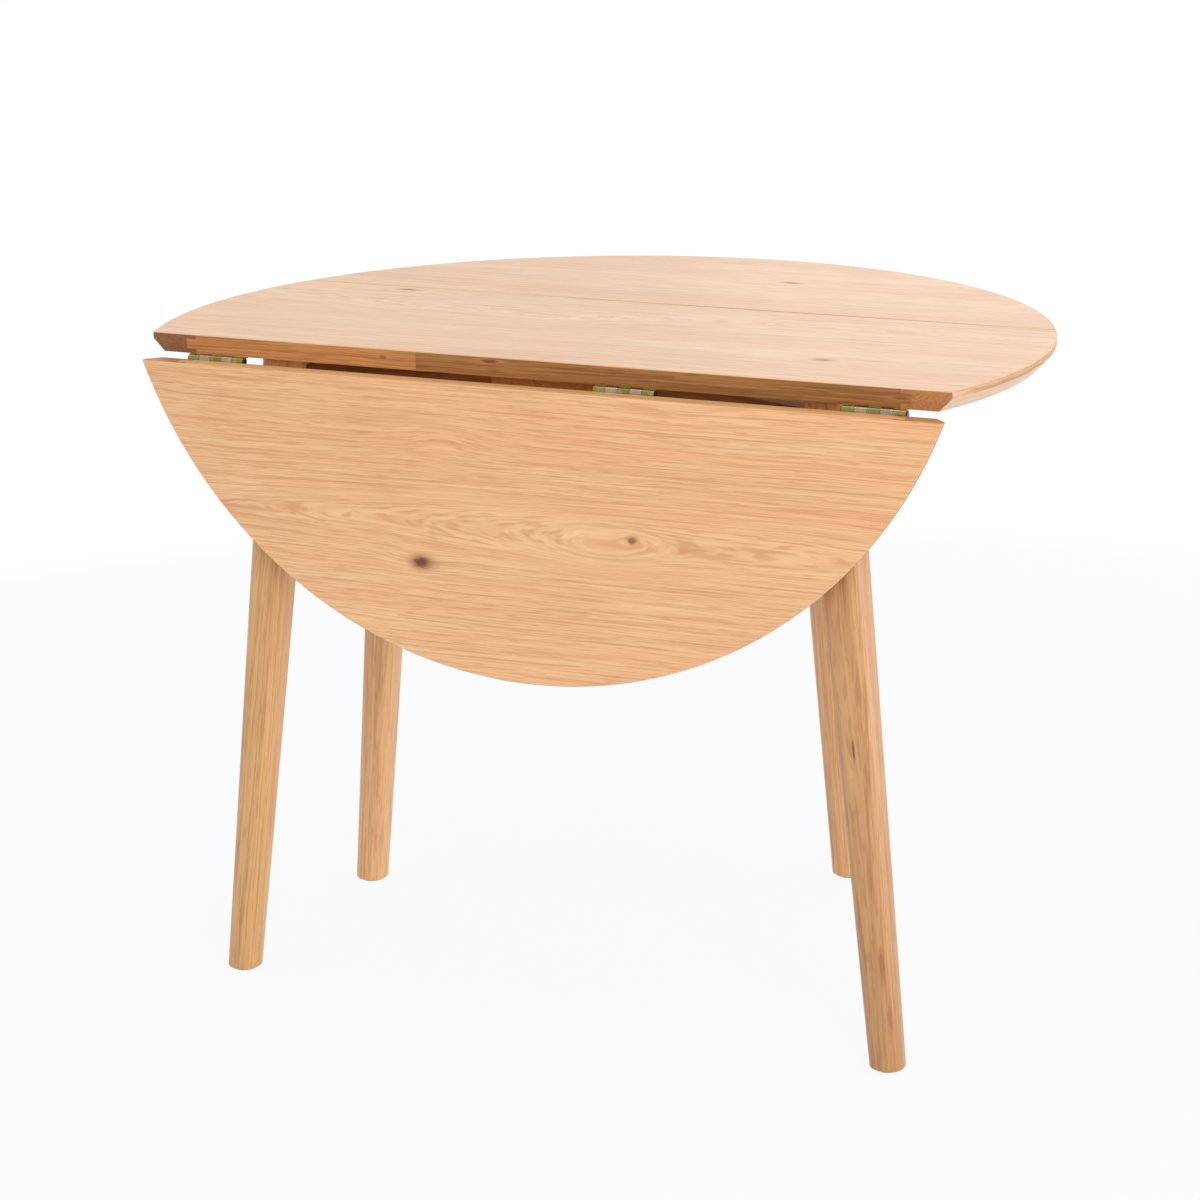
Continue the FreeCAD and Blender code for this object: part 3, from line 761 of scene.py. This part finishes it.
def dress_top():
    """Boards, edge strips and rims of the top and the two leaves."""
    dress(board_finish("oak_top_board", top_face_oak), "centre_panel", "back_leaf_panel")
    dress(board_finish("oak_leaf_board", leaf_face_oak), "front_leaf_panel")
    front_corner = Vector((0.0, edge_face_y, top_z))
    back_corner = Vector((0.0, -edge_face_y, top_z))
    strips = {
        "front_edge_left": (edging_tones, front_corner + Vector((0.0, 0.03, -0.05)), front_left_specks),
        "front_edge_right": (brown_tones, front_corner + Vector((0.0, 0.04, 0.03)), front_right_specks),
        "back_edge_left": (edging_tones, back_corner + Vector((0.0, -0.03, 0.04)), []),
        "back_edge_right": (brown_tones, back_corner + Vector((0.0, -0.04, -0.06)), []),
        "back_leaf_edge": (edging_tones, back_corner + Vector((0.0, 0.05, 0.03)), []),
    }
    for name, (tones, pith, specks) in strips.items():
        knots = [((x, top_z - drop - pith.z, 0.0), length, width, strength)
                 for x, drop, length, width, strength in specks]
        seam_y = back_corner.y if name.startswith("back") else None
        dress(strip_finish("oak_" + name, top_face_oak, up, pith, tones, knots, seam_y), name)
    leaf_corner = Vector((0.0, leaf_face_y, middle("front_leaf_edge").z))
    leaf_strip_pith = leaf_corner + Vector((0.0, 0.04, 0.05))
    dress(strip_finish("oak_front_leaf_edge", leaf_face_oak, front, leaf_strip_pith, leaf_edge_tones),
          "front_leaf_edge")
    top_centre = Vector((0.0, 0.0, top_z))
    leaf_centre = Vector((0.0, leaf_face_y, leaf_centre_z))
    rims = {
        "left_rim": (top_face_oak, up, top_centre, back, edging_tones, block_tones),
        "right_rim": (top_face_oak, up, top_centre, back, painted_light_rim_tones, pale_block_tones, right_bevel_glare_share),
        "back_leaf_rim": (top_face_oak, up, top_centre, back, edging_tones, block_tones),
        "front_leaf_rim": (leaf_face_oak, front, leaf_centre, up, edging_tones, edging_tones),
    }
    for name, settings in rims.items():
        dress(rim_finish("oak_" + name, *settings), name)


# Dark streaks of the front right leg, measured up from its foot and across from its pith
front_leg_streaks = [
    ((0.352, 0.020, 0.0), 0.014, 0.0016, 0.8),
    ((0.115, 0.030, 0.0), 0.028, 0.0035, 0.35),
    ((0.055, 0.033, 0.0), 0.020, 0.0030, 0.3),
    ((0.215, 0.026, 0.0), 0.030, 0.0030, 0.25),
]
front_leg_shade = 0.4

# The pith of a rail, a hub board or a stop, from the piece's middle, and of the dowels, from the origin
rail_pith = Vector((0.02, 0.03, 0.07))
hub_pith = Vector((0.02, 0.0, 0.05))
stop_pith = Vector((0.0, 0.03, 0.05))
dowel_pith = Vector((0.1, 0.1, 0.0))


def dress_base():
    """Legs, rails, hub, stops and dowels."""
    legs = {
        "front_left_leg": (Vector((0.05, 0.045, 0.0)), leg_tones, 0.0, []),
        "front_right_leg": (Vector((-0.02, 0.06, 0.0)), dull_leg_tones, front_leg_shade, front_leg_streaks),
        "back_left_leg": (Vector((-0.055, 0.03, 0.0)), painted_light_leg_tones, 0.0, []),
        "back_right_leg": (Vector((0.06, -0.02, 0.0)), painted_light_leg_tones, 0.0, []),
    }
    for name, (pith, tones, shade, streaks) in legs.items():
        top, foot = leg_line(name)
        leg = bar_finish("oak_" + name, top - foot, right, foot + pith, tones, leg_coat, shade, streaks)
        dress(leg, name)
    rails = {
        "fixed_rail": ("back_left_leg", "front_right_leg"),
        "front_swing_arm": ("front_pivot_bush", "front_left_leg"),
        "back_swing_arm": ("back_pivot_bush", "back_right_leg"),
    }
    for name, (start, end) in rails.items():
        line = middle(end) - middle(start)
        line.z = 0
        dress(bar_finish("oak_" + name, line, up, middle(name) + rail_pith, rail_tones), name)
    for name in ("hub_top_plate", "hub_bottom_plate"):
        dress(bar_finish("oak_" + name, back, right, middle(name) + hub_pith, edging_tones), name)
    for name in ("front_leaf_stop", "back_leaf_stop"):
        dress(bar_finish("oak_" + name, right, back, middle(name) + stop_pith, rail_tones), name)
    dress(bar_finish("beech_dowels", up, right, dowel_pith, leg_tones), "leg_dowels")


def dress_metal():
    """Hinges, screws, pins, bushes and felt."""
    yellow = metal_finish("yellow_zinc", (198, 190, 124), (166, 168, 96), (224, 212, 164), 60.0)
    rosy = metal_finish("rosy_zinc", (226, 210, 184), (204, 192, 158), (234, 214, 196), 50.0)
    pin_steel = metal_finish("pin_steel", (104, 94, 78), (84, 76, 62), (126, 114, 96), 120.0)
    bright = metal_finish("bright_zinc", (206, 206, 204), (186, 188, 190), (216, 212, 200), 60.0)
    screw = metal_finish("screw_zinc", (204, 196, 162), (184, 180, 134), (214, 198, 180), 150.0)
    brass = metal_finish("turned_brass", (214, 178, 98), (190, 150, 74), (222, 190, 120), 70.0)
    for side in ("front", "back"):
        for place in ("left", "middle", "right"):
            dress(yellow, f"{side}_{place}_hinge_panel_plate")
            dress(rosy, f"{side}_{place}_hinge_leaf_plate")
        dress(pin_steel, f"{side}_hinge_pins")
        dress(bright, f"{side}_pivot_pin")
        dress(screw, f"{side}_leaf_hinge_screws", f"{side}_leaf_stop_screws")
        dress(brass, f"{side}_pivot_bush")
    dress(screw, "panel_hinge_screws", "hub_screws")
    dress(bright, "hub_bolts", "pivot_washers")
    felt = felt_finish("dark_felt")
    feet = [f"{side}_{hand}_glide" for side in ("front", "back") for hand in ("left", "right")]
    dress(felt, "front_leg_pad", "back_leg_pad", *feet)


def seen_directly(tree):
    """1 for rays that show the surroundings: straight to the camera, in gloss, or through clear things."""
    path = add(tree, "ShaderNodeLightPath")
    gloss = calc(tree, "MAXIMUM", path.outputs["Is Glossy Ray"], path.outputs["Is Transmission Ray"])
    return calc(tree, "MAXIMUM", path.outputs["Is Camera Ray"], gloss)


def set_world():
    """A white room that lights the table softly, and looks dimmer towards the front in reflections."""
    world = bpy.data.worlds.new("white_room")
    world.use_nodes = True
    bpy.context.scene.world = world
    tree = world.node_tree
    tree.nodes.clear()
    lighting = add(tree, "ShaderNodeBackground")
    lighting.inputs["Color"].default_value = room_tint
    lighting.inputs["Strength"].default_value = room_light
    shown = add(tree, "ShaderNodeBackground")
    shown.inputs["Color"].default_value = white
    path = add(tree, "ShaderNodeLightPath")
    _, backwards, _ = parts_of(tree, add(tree, "ShaderNodeTexCoord").outputs["Generated"])
    rise = scaled(tree, ease(tree, backwards, *room_turn_limits), 1.0 - room_front_gloss)
    room = calc(tree, "ADD", room_front_gloss, rise)
    give(tree, shown.inputs["Strength"], calc(tree, "MAXIMUM", path.outputs["Is Camera Ray"], room))
    both = add(tree, "ShaderNodeMixShader")
    give(tree, both.inputs[0], seen_directly(tree))
    give(tree, both.inputs[1], lighting.outputs[0])
    give(tree, both.inputs[2], shown.outputs[0])
    give(tree, add(tree, "ShaderNodeOutputWorld").inputs["Surface"], both.outputs[0])


def make_floor():
    """A plain white floor that keeps a faint shadow."""
    mesh = bpy.data.meshes.new("floor")
    shape = bmesh.new()
    bmesh.ops.create_grid(shape, x_segments=1, y_segments=1, size=floor_half_size)
    shape.to_mesh(mesh)
    shape.free()
    floor = bpy.data.objects.new("floor", mesh)
    bpy.context.scene.collection.objects.link(floor)
    material = bpy.data.materials.new("white_floor")
    material.use_nodes = True
    tree = material.node_tree
    tree.nodes.clear()
    matt = add(tree, "ShaderNodeBsdfDiffuse")
    matt.inputs["Color"].default_value = floor_matt
    glow = add(tree, "ShaderNodeEmission")
    both = add(tree, "ShaderNodeMixShader")
    away = vector_calc(tree, "LENGTH", add(tree, "ShaderNodeTexCoord").outputs["Object"])
    far = ease(tree, away, floor_shadow_reach, 2 * floor_shadow_reach)
    give(tree, glow.inputs["Color"], mix(tree, far, floor_glow_tint, white))
    share = calc(tree, "MAXIMUM", far, floor_glow_share)
    give(tree, both.inputs[0], scaled(tree, seen_directly(tree), share))
    give(tree, both.inputs[1], matt.outputs[0])
    give(tree, both.inputs[2], glow.outputs[0])
    give(tree, add(tree, "ShaderNodeOutputMaterial").inputs["Surface"], both.outputs[0])
    mesh.materials.append(material)


def add_lamp(name, place, target, width, height, power, tint=(1.0, 1.0, 1.0)):
    """A soft lamp that looks at a point."""
    data = bpy.data.lights.new(name, "AREA")
    data.shape = "RECTANGLE"
    data.size = width
    data.size_y = height
    data.energy = power
    data.color = tint
    lamp = bpy.data.objects.new(name, data)
    bpy.context.scene.collection.objects.link(lamp)
    lamp.location = place
    lamp.rotation_euler = (Vector(target) - Vector(place)).to_track_quat("-Z", "Y").to_euler()
    return lamp


def set_lamps():
    """Soft studio light: a key from the front, a low lamp from the right, one behind and one above.

    The key stays out of reflections, so that the top doesn't glare when it is seen from behind.
    """
    table_middle = (0.0, 0.0, 0.5)
    top_back = (0.2, 0.1, 0.7)
    key = add_lamp("key", (1.9, -2.8, 2.3), table_middle, width=2.0, height=2.0, power=key_power)
    key.visible_glossy = False
    add_lamp("side", (3.0, 0.4, 0.3), table_middle, width=3.0, height=0.8, power=side_power)
    add_lamp("back", (0.2, 3.3, 1.6), top_back, width=3.0, height=3.0, power=back_power, tint=back_tint)
    add_lamp("above", (0.3, 0.8, 3.2), table_middle, width=2.6, height=2.6, power=above_power)


def set_camera():
    """The camera at the photograph's viewing angle."""
    level = math.cos(camera_pitch)
    look = Vector((-math.sin(camera_yaw) * level, math.cos(camera_yaw) * level, -math.sin(camera_pitch)))
    level_right = Vector((math.cos(camera_yaw), math.sin(camera_yaw), 0.0))
    level_up = level_right.cross(look)
    tilted_right = math.cos(camera_roll) * level_right + math.sin(camera_roll) * level_up
    tilted_up = math.cos(camera_roll) * level_up - math.sin(camera_roll) * level_right
    data = bpy.data.cameras.new("camera")
    data.sensor_width = sensor_width_mm
    data.lens = camera_focal_pixels * sensor_width_mm / photo_width_pixels
    data.clip_end = camera_clip_end
    camera = bpy.data.objects.new("camera", data)
    bpy.context.scene.collection.objects.link(camera)
    turn = Matrix((tilted_right, tilted_up, -look)).transposed()
    camera.matrix_world = Matrix.Translation(camera_place) @ turn.to_4x4()
    bpy.context.scene.camera = camera


dress_top()
dress_base()
dress_metal()
set_world()
make_floor()
set_lamps()
set_camera()
bpy.context.scene.view_settings.view_transform = "Standard"
